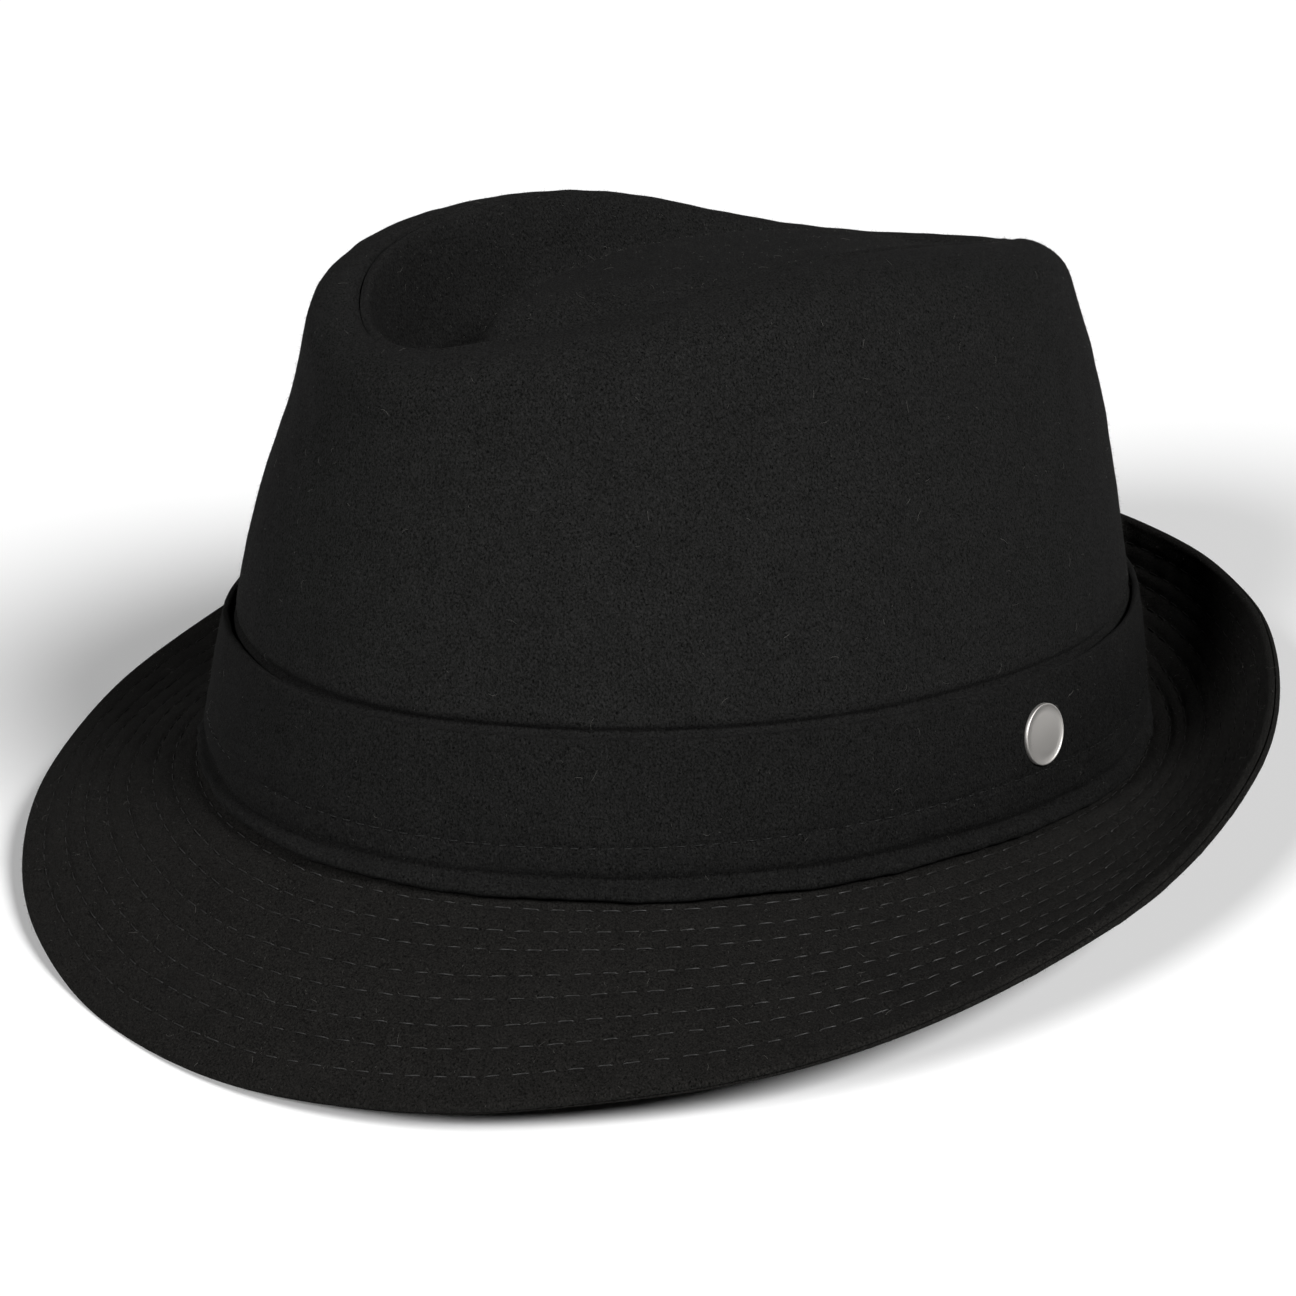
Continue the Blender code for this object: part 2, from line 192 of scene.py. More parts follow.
# Unevenness: size of the bumps, their height and the seed of their draw
CROWN_WAVES = ((0.040, 0.00012, 11), (0.008, 0.00006, 12))
BEHIND_BAND_ROWS, BEHIND_BAND_SHARE = 8, 0.2
TIP_WAVES = ((0.035, 0.00015, 21), (0.008, 0.00006, 22))
TIP_WAVE_REACH = 0.01
BAND_WAVES = ((0.022, 0.00012, 31), (0.006, 0.00005, 32))
ROLL_LUMPS = ((0.005, 0.00016, 33),)
ROLL_LUMP_HALF_WIDTH = 0.0015
BRIM_SWELL = ((0.045, 0.00025, 55),)
BRIM_SWELL_REACH = 0.02
BRIM_LUMP_SIZE, BRIM_LUMP_HEIGHT, BRIM_LUMP_SEED = 0.0065, 0.00007, 51

# Even rows of the wall below and above the band's top edge, and how far over that edge the upper ones start
ROWS_BEHIND_BAND, ROWS_OF_WALL, WALL_CLEAR = 24, 46, 0.0035
# Where rings are drawn close together: tenths of a millimetre over the band's top edge, millimetres from the
# seam down the side, thousandths of the way from the seam into the tip, and millimetres to either side of a row
RINGS_OVER_BAND = (-7, -3, 0, 2, 4, 6, 8, 11, 14, 18, 24)
RINGS_DOWN_SIDE = (12.5, 11, 9.5, 8, 6.6, 5.3, 4.2, 3.3, 2.5, 1.9, 1.4, 1.0, 0.7, 0.45, 0.25, 0.1, 0.0)
RINGS_INTO_TIP = (0, 3, 7, 12, 18, 25, 33, 43, 55, 70)
RINGS_AT_ROW = (-1.5, -0.9, -0.45, 0.0, 0.45, 0.9, 1.5)

# Nap and loose fibres
NAP_WIDTH = 0.00004
FIBRE_RADIUS = 0.000015
FIBRE_CLEARANCE = 0.0002
TABLE_CLEARANCE = 0.00002


def rounded(angle, values):
    """Smooth closed curve through evenly spaced values, the first of them at angle 0."""
    values = np.asarray(values, float)
    count = len(values)
    place = (np.asarray(angle) / (2 * math.pi) * count) % count
    i = np.floor(place).astype(int) % count
    f = place - np.floor(place)
    a, b, c, d = (values[(i + step) % count] for step in (-1, 0, 1, 2))
    return 0.5 * (2 * b + (c - a) * f + (2 * a - 5 * b + 4 * c - d) * f ** 2 + (3 * b - 3 * c + d - a) * f ** 3)


def both_sides(angle, values):
    """The same for values at the front, front quarter, side, back quarter and back of both sides."""
    front, front_quarter, side, back_quarter, back = values
    return rounded(angle, (side, back_quarter, back, back_quarter, side, front_quarter, front, front_quarter))


def along(share, column):
    """A column of the crown's sections at a share of the wall's height, as a natural cubic curve."""
    knots = np.array([row[0] for row in CROWN_SECTIONS])
    values = np.array([row[column] for row in CROWN_SECTIONS])
    steps = np.diff(knots)
    count = len(knots)
    matrix = np.eye(count)
    right = np.zeros(count)
    for i in range(1, count - 1):
        matrix[i, i - 1:i + 2] = steps[i - 1], 2 * (steps[i - 1] + steps[i]), steps[i]
        right[i] = 6 * ((values[i + 1] - values[i]) / steps[i] - (values[i] - values[i - 1]) / steps[i - 1])
    bend = np.linalg.solve(matrix, right)
    i = np.clip(np.searchsorted(knots, share) - 1, 0, count - 2)
    a = (knots[i + 1] - share) / steps[i]
    b = 1 - a
    curve = (a ** 3 - a) * bend[i] + (b ** 3 - b) * bend[i + 1]
    return a * values[i] + b * values[i + 1] + curve * steps[i] ** 2 / 6


def oval(half_width, front, back, squareness, angle):
    """Point of an egg-shaped oval."""
    cosine, sine = np.cos(angle), np.sin(angle)
    power = 2 / squareness
    x = half_width * np.sign(cosine) * np.abs(cosine) ** power
    y = np.where(sine > 0, back, front) * np.sign(sine) * np.abs(sine) ** power
    return x, y


def eased(share):
    """0 up to 0 and 1 from 1 on, with a smooth rise between."""
    share = np.clip(share, 0.0, 1.0)
    return share ** 2 * (3 - 2 * share)


def ramp(value, start, length):
    """The same rise over a length from a start."""
    return eased((value - start) / length)


def crest(angle):
    return CROWN_HEIGHT * rounded(angle, CREST_SHARES)


def foot(angle):
    return CROWN_HEIGHT * rounded(angle, FOOT_SHARES)


def outward(x, y):
    """Unit normals of a closed ring of points, in plan."""
    along_x = np.roll(x, -1, -1) - np.roll(x, 1, -1)
    along_y = np.roll(y, -1, -1) - np.roll(y, 1, -1)
    length = np.hypot(along_x, along_y)
    return along_y / length, -along_x / length


def wall_ring(height, angle, out=0.0):
    """Ring on the crown wall, or standing off it, at a height above its foot."""
    low = foot(angle)
    share = (height - low) / (crest(angle) - SHOULDER_RADIUS - low)
    x, y = oval(HEAD_HALF_WIDTH * along(share, 1), HEAD_FRONT * along(share, 2), HEAD_BACK * along(share, 3),
                along(share, 4), angle)
    across, down = outward(x, y)
    return np.stack([x + across * out, y + down * out, np.broadcast_to(height, x.shape)], -1)


def shoulder_rings(angle, shares):
    """Rings over the shoulder, at shares of the way from the top of the wall to the seam."""
    top_height = crest(angle) - SHOULDER_RADIUS
    top = wall_ring(top_height, angle)
    below = wall_ring(top_height - 0.05 * CROWN_HEIGHT, angle)
    across, down = outward(top[:, 0], top[:, 1])
    lean_in = (below - top)[:, 0] * across + (below - top)[:, 1] * down
    lean = np.arctan2(lean_in, (top - below)[:, 2])
    radius = SHOULDER_RADIUS / (1 - np.sin(lean))
    rings = []
    for share in shares:
        turn = lean + (SEAM_TURN - lean) * share
        inward = radius * (np.cos(lean) - np.cos(turn))
        rise = radius * (np.sin(turn) - np.sin(lean))
        rings.append(np.stack([top[:, 0] - across * inward, top[:, 1] - down * inward, top[:, 2] + rise], -1))
    return rings


def tip_ring(seam, share, turn, squeeze=1.0):
    """Ring of the tip at a share of the way from its spine to the seam, with the teardrop dent in it."""
    middle = seam[:, 1].mean()
    spine_x = SPINE_HALF_WIDTH * np.cos(turn) * squeeze
    spine_y = middle + SPINE_HALF_LENGTH * np.sin(turn)
    x = spine_x + (seam[:, 0] - spine_x) * share
    y = spine_y + (seam[:, 1] - spine_y) * share
    reach = np.abs(seam[:, 1] - middle).max()
    lengthwise = (y - middle) / reach
    island = ISLAND_HEIGHT - ISLAND_BEND * lengthwise ** 2
    lip = seam[:, 2] + np.hypot(seam[:, 0] - x, seam[:, 1] - y) / math.tan(SEAM_TURN)
    blend = eased((share - LIP_START_SHARE) / LIP_WIDTH_SHARE)
    surface = island * (1 - blend) + lip * blend
    frontness = 0.5 - 0.5 * np.sin(turn)
    deep = BACK_DEPTH_SHARE + (1 - BACK_DEPTH_SHARE) * frontness ** FADE_POWER
    deep = deep * (1 - RIGHT_DEPTH_SHARE * np.cos(turn))
    nose = NOSE_SHARE * (1 - frontness)
    inner_slope = eased((share - nose) / (VALLEY_SHARE - nose))
    outer_slope = 1 - eased((share - VALLEY_SHARE) / RIM_SHARE)
    return np.stack([x, y, surface - VALLEY_DEPTH * deep * inner_slope * outer_slope], -1)


def brim_rings(angle, shares):
    """Rings of the brim's upper face at shares of its width, with the normal and the way out at each."""
    steps = 96
    low = foot(angle)
    start = wall_ring(low, angle)
    across, down = outward(start[:, 0], start[:, 1])
    width, inner, outer = (both_sides(angle, [row[k] for row in BRIM_SECTIONS]) for k in range(3))
    width = BRIM_WIDTH * width
    slopes = np.radians(inner + (outer - inner) * np.linspace(0, 1, steps + 1)[:, None])
    middles = (slopes[1:] + slopes[:-1]) / 2
    nothing = np.zeros((1, len(angle)))
    reach = np.concatenate([nothing, np.cumsum(np.cos(middles), 0) * width / steps]) + JOINT_GAP
    rise = np.concatenate([nothing, np.cumsum(np.sin(middles), 0) * width / steps])
    rings = []
    for share in shares:
        i = min(int(share * steps), steps - 1)
        f = share * steps - i
        out = reach[i] * (1 - f) + reach[i + 1] * f
        up = rise[i] * (1 - f) + rise[i + 1] * f
        slope = slopes[i] * (1 - f) + slopes[i + 1] * f
        point = np.stack([start[:, 0] + across * out, start[:, 1] + down * out, low + up], -1)
        normal = np.stack([-across * np.sin(slope), -down * np.sin(slope), np.cos(slope)], -1)
        outwards = np.stack([across * np.cos(slope), down * np.cos(slope), np.sin(slope)], -1)
        rings.append((point, normal, outwards))
    return rings


def stations(count):
    return np.arange(count) * 2 * math.pi / count


def resting_place():
    """Turn and shift from the level hat to the hat as it lies, found as the solids find it.

    It leans back until the brim touches down in front and behind."""
    depth = 2 * LAYER_THICK + LAYER_GAP
    rings = brim_rings(stations(60), np.linspace(0, 1, 7))
    points = [point - normal * depth for point, normal, outwards in rings]
    point, normal, outwards = rings[-1]
    points += [point - normal * (depth - LAYER_THICK) + outwards * LAYER_THICK]
    points = np.concatenate(points)

    def heights(tilt):
        return points[:, 2] * math.cos(tilt) - points[:, 1] * math.sin(tilt)

    low_tilt, high_tilt = 0.0, math.radians(30.0)
    for _ in range(40):
        tilt = (low_tilt + high_tilt) / 2
        z = heights(tilt)
        if z[points[:, 1] < 0].min() < z[points[:, 1] > 0].min():
            low_tilt = tilt
        else:
            high_tilt = tilt
    turn = np.array(Matrix.Rotation(-tilt, 3, "X"))
    turned = points @ turn.T
    low, high = (np.array(corner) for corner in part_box("brim_under"))
    shift = (low + high) / 2 - (turned.min(0) + turned.max(0)) / 2
    shift[2] = -(heights(tilt).min() + PRESS)
    return turn, shift


TURN, SHIFT = resting_place()


def rest(points):
    """Points of the level hat, moved to where the hat lies.  Nothing goes below the table."""
    moved = np.asarray(points) @ TURN.T + SHIFT
    moved[..., 2] = np.maximum(moved[..., 2], TABLE_CLEARANCE)
    return moved


def ripple(points, size, seed, count=24):
    """Smooth unevenness with bumps about this size and a height of about 1: a sum of plane waves."""
    draw = np.random.default_rng(seed)
    ways = draw.normal(size=(count, 3))
    ways /= np.linalg.norm(ways, axis=1, keepdims=True)
    paces = 2 * math.pi / (size * draw.uniform(0.8, 1.7, count))
    phases = draw.uniform(0, 2 * math.pi, count)
    total = np.zeros(points.shape[:-1])
    for way, pace, phase in zip(ways, paces, phases):
        total += np.sin(points @ way * pace + phase)
    return total * math.sqrt(2 / count)


def uneven(points, waves):
    return sum(height * ripple(points, size, seed) for size, height, seed in waves)


def grid_normals(points):
    """Unit normals of rows of rings: along the ring, crossed with the way from row to row."""
    around = np.roll(points, -1, 1) - np.roll(points, 1, 1)
    onward = np.gradient(points, axis=0)
    normal = np.cross(around, onward)
    return normal / np.maximum(np.linalg.norm(normal, axis=-1, keepdims=True), 1e-12)


def bell(distance, half_width):
    return np.exp(-(distance / half_width) ** 2)


def add_mesh(name, points, faces, finish, replaced=()):
    """A shaded smooth piece that rides on the hat's one body."""
    mesh = bpy.data.meshes.new(name)
    mesh.from_pydata(np.asarray(points).tolist(), [], faces if isinstance(faces, list) else faces.tolist())
    mesh.update()
    mesh.shade_smooth()
    mesh.materials.append(finish)
    piece = bpy.data.objects.new(name, mesh)
    bpy.context.scene.collection.objects.link(piece)
    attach(piece, "root")
    if replaced:
        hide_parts(*replaced)
    return piece


def ring_faces(rows, count, closed):
    """Quads between rings, facing the way of grid_normals.  A closed set joins its last ring to its first."""
    row, k = np.meshgrid(np.arange(rows if closed else rows - 1), np.arange(count), indexing="ij")
    following, right = (row + 1) % rows, (k + 1) % count
    corners = row * count + k, row * count + right, following * count + right, following * count + k
    return np.stack(corners, -1).reshape(-1, 4)


def bake_map(piece, rows, count):
    """UV map of a closed loft: round the hat across, round its section up."""
    layer = piece.data.uv_layers.new(name="OFBake")
    row, k = np.meshgrid(np.arange(rows), np.arange(count), indexing="ij")
    u = np.stack([k, k + 1, k + 1, k], -1) / count
    v = np.stack([row, row, row + 1, row + 1], -1) / rows
    layer.uv.foreach_set("vector", np.stack([u, v], -1).astype(np.float32).ravel())


def loft(name, rows, finish, replaced):
    """Closed cloth: rings that run round the section of the cloth and close on themselves."""
    rows = rest(np.stack(rows))
    count = rows.shape[1]
    piece = add_mesh(name, rows.reshape(-1, 3), ring_faces(len(rows), count, True), finish, replaced)
    bake_map(piece, len(rows), count)
    return piece


def crown_side(finish):
    """Side panel: its foot, the wall with the dent that the band presses into it, the shoulder and the seam."""
    turn = stations(480)
    low, top = foot(turn), crest(turn) - SHOULDER_RADIUS
    tuck = LAYER_THICK * 2 + LAYER_GAP - FOOT_TUCK
    over = low + BAND_HEIGHT
    wall = [low + BAND_HEIGHT * k / ROWS_BEHIND_BAND for k in range(ROWS_BEHIND_BAND)]
    wall += [over + step / 10000 for step in RINGS_OVER_BAND]
    wall += [over + WALL_CLEAR + (top - over - WALL_CLEAR) * k / ROWS_OF_WALL for k in range(ROWS_OF_WALL + 1)]
    shoulder_length = SHOULDER_RADIUS * 1.75
    from_seam = np.array(RINGS_DOWN_SIDE) / 1000
    rings = [wall_ring(low, turn) - (0, 0, tuck)] + [wall_ring(height, turn) for height in wall]
    rings += shoulder_rings(turn, 1 - from_seam / shoulder_length)
    base = np.stack(rings)
    normal = grid_normals(base)
    relief = uneven(base, CROWN_WAVES)
    above_band = base[..., 2] - low - BAND_HEIGHT
    relief -= PINCH_DEPTH * bell(above_band - PINCH_RISE, PINCH_HALF_WIDTH)
    relief[-len(from_seam):] -= SEAM_FALL * bell(from_seam, SIDE_FALL_WIDTH)[:, None]
    relief[:BEHIND_BAND_ROWS] *= BEHIND_BAND_SHARE
    outer = base + normal * relief[..., None]
    inner = (base - normal * CLOTH_THICK)[::-1]
    keep = [*range(1, len(from_seam), 3), *range(len(from_seam), len(inner), 5), len(inner) - 1]
    loft("wool_crown_side", [*outer, *inner[keep]], finish, ("crown_side",))
    return outer


def settled(height, share):
    """Heights of the tip's grid once each point has been drawn toward its four neighbours a number of times.

    The innermost ring's neighbours on the inside are its own points across the spine."""
    count = height.shape[1]
    opposite = (count // 2 - np.arange(count)) % count
    for _ in range(SETTLE_PASSES):
        outer = np.vstack([height[:1], height[:-1]])
        inner = np.vstack([height[1:], height[-1:, opposite]])
        beside = np.roll(height, 1, axis=1) + np.roll(height, -1, axis=1)
        height = height + share * (outer + inner + beside - 4 * height)
    return height


def crown_tip(finish):
    """Top panel with the teardrop dent, its folded edge standing up along the seam."""
    turn = stations(360)
    seam = shoulder_rings(turn, [1.0])[0]
    across, down = outward(seam[:, 0], seam[:, 1])
    fall = np.full(turn.shape, 1 / math.tan(SEAM_TURN))
    seam = seam + np.stack([-across, -down, fall], -1) * SEAM_GAP * TIP_INSET_SHARE
    near_seam = [1 - step / 1000 for step in RINGS_INTO_TIP]
    shares = near_seam + list(np.linspace(0.915, 0.0, 58))
    rings = [tip_ring(seam, share, turn) for share in shares]
    rings += [tip_ring(seam, 0.0, turn, squeeze) for squeeze in (0.8, 0.6, 0.4, 0.2, 0.05)]
    base = np.stack(rings)
    from_seam = np.hypot(base[..., 0] - seam[:, 0], base[..., 1] - seam[:, 1])
    base[..., 2] = settled(base[..., 2], SETTLE_SHARE * eased(from_seam / SETTLE_REACH))
    normal = grid_normals(base)
    normal[-5:] = normal[-6]
    relief = uneven(base, TIP_WAVES) * eased(from_seam / TIP_WAVE_REACH)
    ridge = SEAM_RIDGE * bell(from_seam - RIDGE_PLACE, RIDGE_HALF_WIDTH)
    relief += ridge - SEAM_FALL * bell(from_seam, TIP_FALL_WIDTH)
    outer = base + normal * relief[..., None]
    inner = (base - normal * CLOTH_THICK)[::-1][::4]
    rows = np.stack([*outer, *inner])
    count = len(turn)
    faces = ring_faces(len(outer), count, False).tolist()
    faces += (ring_faces(len(inner), count, False) + len(outer) * count).tolist()
    last, first_inner, inner_edge = (len(outer) - 1) * count, len(outer) * count, (len(rows) - 1) * count
    for k in range(count):
        right = (k + 1) % count
        faces.append((inner_edge + k, inner_edge + right, right, k))
    quarter = count // 4
    for k in range(-quarter, quarter):
        a, b = k % count, (k + 1) % count
        c, d = (count // 2 - k - 1) % count, (count // 2 - k) % count
        corners = [corner for n, corner in enumerate((a, b, c, d)) if corner not in (a, b, c, d)[:n]]
        faces.append(tuple(last + corner for corner in corners))
        faces.append(tuple(first_inner + corner for corner in corners[::-1]))
    add_mesh("wool_crown_tip", rest(rows).reshape(-1, 3), faces, finish, ("crown_tip",))
    return outer


def topstitch_height(turn):
    return both_sides(turn, TOPSTITCH_HEIGHTS)


def band_rings(turn, heights):
    """Outer face of the band at heights above its foot: the roll of cloth at its foot, the crease over it, the
    groove of the topstitching, the softly rounded top edge and the notch where its ends meet."""
    low = foot(turn)
    rings = []
    for height in heights:
        bulge = ROLL_BULGE * np.sqrt(np.clip(1 - ((height - ROLL_HEIGHT / 2) / (ROLL_HEIGHT / 2)) ** 2, 0, 1))
        crease = -CREASE_DEPTH * bell(height - ROLL_HEIGHT - CREASE_RISE, CREASE_HALF_WIDTH)
        tuck = -TUCK_DEPTH * bell(height, TUCK_HALF_WIDTH)
        groove = -GROOVE_DEPTH * bell(height - topstitch_height(turn), GROOVE_HALF_WIDTH)
        fill = FILL * ramp(height, *FILL_RISES) * (1 - ramp(height, *FILL_FALLS))
        thinning = ramp(height, EDGE_START, BAND_HEIGHT - EDGE_START)
        thick = BAND_THICK - (BAND_THICK - BAND_EDGE_THICK) * thinning
        away = (turn - NOTCH_ANGLE + math.pi) % (2 * math.pi) - math.pi
        joint = bell(away * HEAD_FRONT, NOTCH_WIDTH)
        notch = -NOTCH_HOLLOW * joint * (0.25 + 0.75 * ramp(height, *NOTCH_DEEPENS))
        ring = wall_ring(low + height, turn, BAND_GAP + thick + bulge + crease + tuck + groove + fill + notch)
        ring[:, 2] -= NOTCH_DEPTH * joint * ramp(height, *NOTCH_DROPS)
        rings.append(ring)
    return rings


def hat_band(finish):
    """Band: outer face, rounded top edge and inner face, raised at the foot where the brim turns up."""
    turn = stations(560)
    low = foot(turn)
    slope = np.radians(both_sides(turn, [row[1] for row in BRIM_SECTIONS]))
    lift = np.maximum(np.tan(slope), 0.0) * (BAND_GAP + BAND_THICK) + BAND_GAP
    # Heights of its rings: close together at the roll and its crease and at the topstitching
    steps = np.concatenate([np.linspace(0.0003, ROLL_HEIGHT + 0.0012, 16), np.linspace(0.0055, 0.0085, 5),
                            np.linspace(0.009, 0.0135, 14), np.linspace(0.0148, BAND_HEIGHT - 0.0008, 12)])
    outer = np.stack(band_rings(turn, steps))
    outer[..., 2] = np.maximum(outer[..., 2], low + lift)
    normal = grid_normals(outer)
    relief = uneven(outer, BAND_WAVES)
    relief += uneven(outer, ROLL_LUMPS) * bell(outer[..., 2] - low - ROLL_HEIGHT / 2, ROLL_LUMP_HALF_WIDTH)
    outer = outer + normal * relief[..., None]
    edge = []
    centre = outer[-1] - normal[-1] * BAND_EDGE_THICK / 2
    up = outer[-1] - outer[-2]
    up /= np.linalg.norm(up, axis=-1, keepdims=True)
    for share in (0.17, 0.33, 0.5, 0.67, 0.83):
        swing = math.pi * share
        edge.append(centre + (normal[-1] * math.cos(swing) + up * math.sin(swing)) * BAND_EDGE_THICK / 2)
    inner = [wall_ring(low + BAND_HEIGHT - 0.0012, turn, BAND_GAP * 1.6)]
    inner += [wall_ring(low + height, turn, BAND_GAP) for height in (0.026, 0.02, 0.014, 0.008)]
    inner += [wall_ring(low + lift, turn, BAND_GAP)]
    loft("wool_band", [*outer, *edge, *inner], finish, ("hat_band",))
    return outer


def row_shares():
    """Shares of the brim's width at which a ring is drawn: close together at each row of stitches."""
    near = np.array(RINGS_AT_ROW) / 1000 / BRIM_WIDTH
    shares = [0.0, 0.03, 0.12]
    for k, share in enumerate(QUILT_SHARES):
        shares += [value for value in share + near if value > 0.004]
        if k + 1 < len(QUILT_SHARES):
            shares.append((share + QUILT_SHARES[k + 1]) / 2)
    shares += [0.93, 0.955, 0.975, 0.99, 1.0]
    return sorted(set(round(share, 5) for share in shares))


def quilted(turn, shares, side):
    """Height of the quilting over a face of the brim: a groove at each row and a slight puff between rows."""
    width = BRIM_WIDTH * both_sides(turn, [row[0] for row in BRIM_SECTIONS])
    relief = np.zeros((len(shares), len(turn)))
    circle = np.stack([np.cos(turn), np.sin(turn), turn * 0], -1)
    depth = QUILT_DEPTH * (1 + 0.25 * ripple(circle, 0.3, 40 + side))
    share = np.asarray(shares)[:, None]
    for row in QUILT_SHARES:
        relief -= depth * bell((share - row) * width, QUILT_HALF_WIDTH)
    for row, following in zip(QUILT_SHARES, QUILT_SHARES[1:]):
        middle = np.clip((share - row) / (following - row), 0, 1)
        relief += QUILT_PUFF * np.sin(math.pi * middle) ** 2
    return relief


def swell(points):
    """Slight unevenness of the brim's height, the same for its layers and its stitches."""
    beyond = np.hypot(points[..., 0], points[..., 1]) - HEAD_FRONT
    return uneven(points, BRIM_SWELL) * eased(beyond / BRIM_SWELL_REACH)


def brim_layer(name, upper, finish, replaced, count):
    """One layer of the brim.  The upper one shows its top face, the lower one its under side."""
    turn = stations(count)
    shares = row_shares()
    frames = brim_rings(turn, shares)
    coarse = brim_rings(turn, np.linspace(0, 1, 13))
    face_depth = 0.0 if upper else 2 * LAYER_THICK + LAYER_GAP
    side = 1 if upper else -1
    hidden_depth = face_depth + side * LAYER_THICK
    point, normal, outwards = frames[-1]
    edge = []
    for share in (0.15, 0.35, 0.55, 0.75, 0.9, 1.0):
        out = LAYER_THICK * math.sin(share * math.pi / 2)
        fall = LAYER_THICK * (1 - math.cos(share * math.pi / 2))
        edge.append(point - normal * (face_depth + side * fall) + outwards * out)
    face = np.stack([point - normal * face_depth for point, normal, outwards in frames])
    normals = np.stack([normal for point, normal, outwards in frames]) * side
    lumps = BRIM_LUMP_HEIGHT * ripple(face, BRIM_LUMP_SIZE, BRIM_LUMP_SEED + side)
    relief = quilted(turn, shares, side) + lumps
    shown = face + normals * relief[..., None]
    hidden = [point - normal * hidden_depth for point, normal, outwards in coarse]
    loop = np.stack([*edge[::-1], *shown[::-1], *hidden] if upper else [*shown, *edge, *hidden[::-1]])
    loop[..., 2] += swell(loop)
    loft(name, loop, finish, replaced)
    return loop[:len(edge) + len(shares)]


def thread(name, rows, finish, sides=5, segments=4):
    """Rows of stitches: each a short bowed length of thread whose ends dive into the cloth.

    A row is its closed line of points with their normals, the pitch and length of its stitches and a seed."""
    points, faces = [], []
    start = 0
    reach = np.linspace(-0.5, 0.5, segments + 1)
    swing = np.arange(sides) * 2 * math.pi / sides
    for line, normals, pitch, length, seed in rows:
        draw = np.random.default_rng(seed)
        closed = np.concatenate([line, line[:1]])
        travel = np.concatenate([[0.0], np.cumsum(np.linalg.norm(np.diff(closed, axis=0), axis=1))])
        count = round(travel[-1] / pitch)
        centre = (np.arange(count) + draw.uniform(-0.05, 0.05, count)) * travel[-1] / count
        lengths = length * draw.uniform(0.88, 1.1, count)
        at = (centre[:, None] + lengths[:, None] * reach) % travel[-1]
        wrapped = np.concatenate([normals, normals[:1]])
        place = np.stack([np.interp(at, travel, closed[:, k]) for k in range(3)], -1)
        normal = np.stack([np.interp(at, travel, wrapped[:, k]) for k in range(3)], -1)
        normal /= np.linalg.norm(normal, axis=-1, keepdims=True)
        ahead = place[:, -1:] - place[:, :1]
        ahead /= np.linalg.norm(ahead, axis=-1, keepdims=True)
        beside = np.cross(ahead, normal)
        slant = draw.normal(0, THREAD_SLANT, (count, 1, 1)) * reach[None, :, None] * 2
        bow = THREAD_RADIUS * (1.1 - 3.4 * (2 * reach) ** 4)
        place = place + normal * bow[None, :, None] + beside * slant
        radius = THREAD_RADIUS * (1 - 0.35 * (2 * reach) ** 2)
        ring = (place[:, :, None] + radius[None, :, None, None]
                * (normal[:, :, None] * np.cos(swing)[:, None] + beside[:, :, None] * np.sin(swing)[:, None]))
        points.append(ring.reshape(-1, 3))
        each = (segments + 1) * sides
        for n in range(count):
            base = start + n * each
            for step in range(segments):
                for k in range(sides):
                    right = (k + 1) % sides
                    a, b = base + step * sides + k, base + step * sides + right
                    faces.append((a, a + sides, b + sides, b))
            faces.append(tuple(base + k for k in range(sides)))
            faces.append(tuple(base + segments * sides + k for k in range(sides))[::-1])
        start += count * each
    add_mesh(name, rest(np.concatenate(points)), faces, finish)


def brim_threads(turn, upper):
    """Lines of the brim's rows of stitches, lying in the bottom of their grooves."""
    depth = 0.0 if upper else 2 * LAYER_THICK + LAYER_GAP
    side = 1 if upper else -1
    relief = quilted(turn, QUILT_SHARES, side)
    rows = []
    for k, (point, normal, outwards) in enumerate(brim_rings(turn, QUILT_SHARES)):
        line = point - normal * depth + normal * side * relief[k][:, None]
        line[:, 2] += swell(line)
        rows.append((line, normal * side, STITCH_PITCH, STITCH_LENGTH, 60 + k))
    return rows


def band_thread(turn):
    """Line of the band's row of stitches."""
    height = topstitch_height(turn)
    rings = np.stack([wall_ring(foot(turn) + height + step, turn) for step in (-0.001, 0, 0.001)])
    normal = grid_normals(rings)[1]
    line = band_rings(turn, [height])[0]
    return [(line, normal, TOPSTITCH_PITCH, TOPSTITCH_LENGTH, 71)]


def scatter(points, count, draw):
    """Places spread evenly over rows of rings, with the normal at each."""
    normals = grid_normals(points)
    a, b = points[:-1], np.roll(points, -1, 1)[:-1]
    c, d = np.roll(points, -1, 1)[1:], points[1:]
    area = np.linalg.norm(np.cross(c - a, d - b), axis=-1)
    pick = draw.choice(area.size, count, p=(area / area.sum()).ravel())
    row, k = np.divmod(pick, points.shape[1])
    right = (k + 1) % points.shape[1]
    f, g = draw.random((2, count, 1))

    def mixed(values):
        low = values[row, k] * (1 - f) + values[row, right] * f
        high = values[row + 1, k] * (1 - f) + values[row + 1, right] * f
        return low * (1 - g) + high * g

    normal = mixed(normals)
    return mixed(points), normal / np.linalg.norm(normal, axis=-1, keepdims=True)


def unit(vectors):
    return vectors / np.maximum(np.linalg.norm(vectors, axis=-1, keepdims=True), 1e-12)


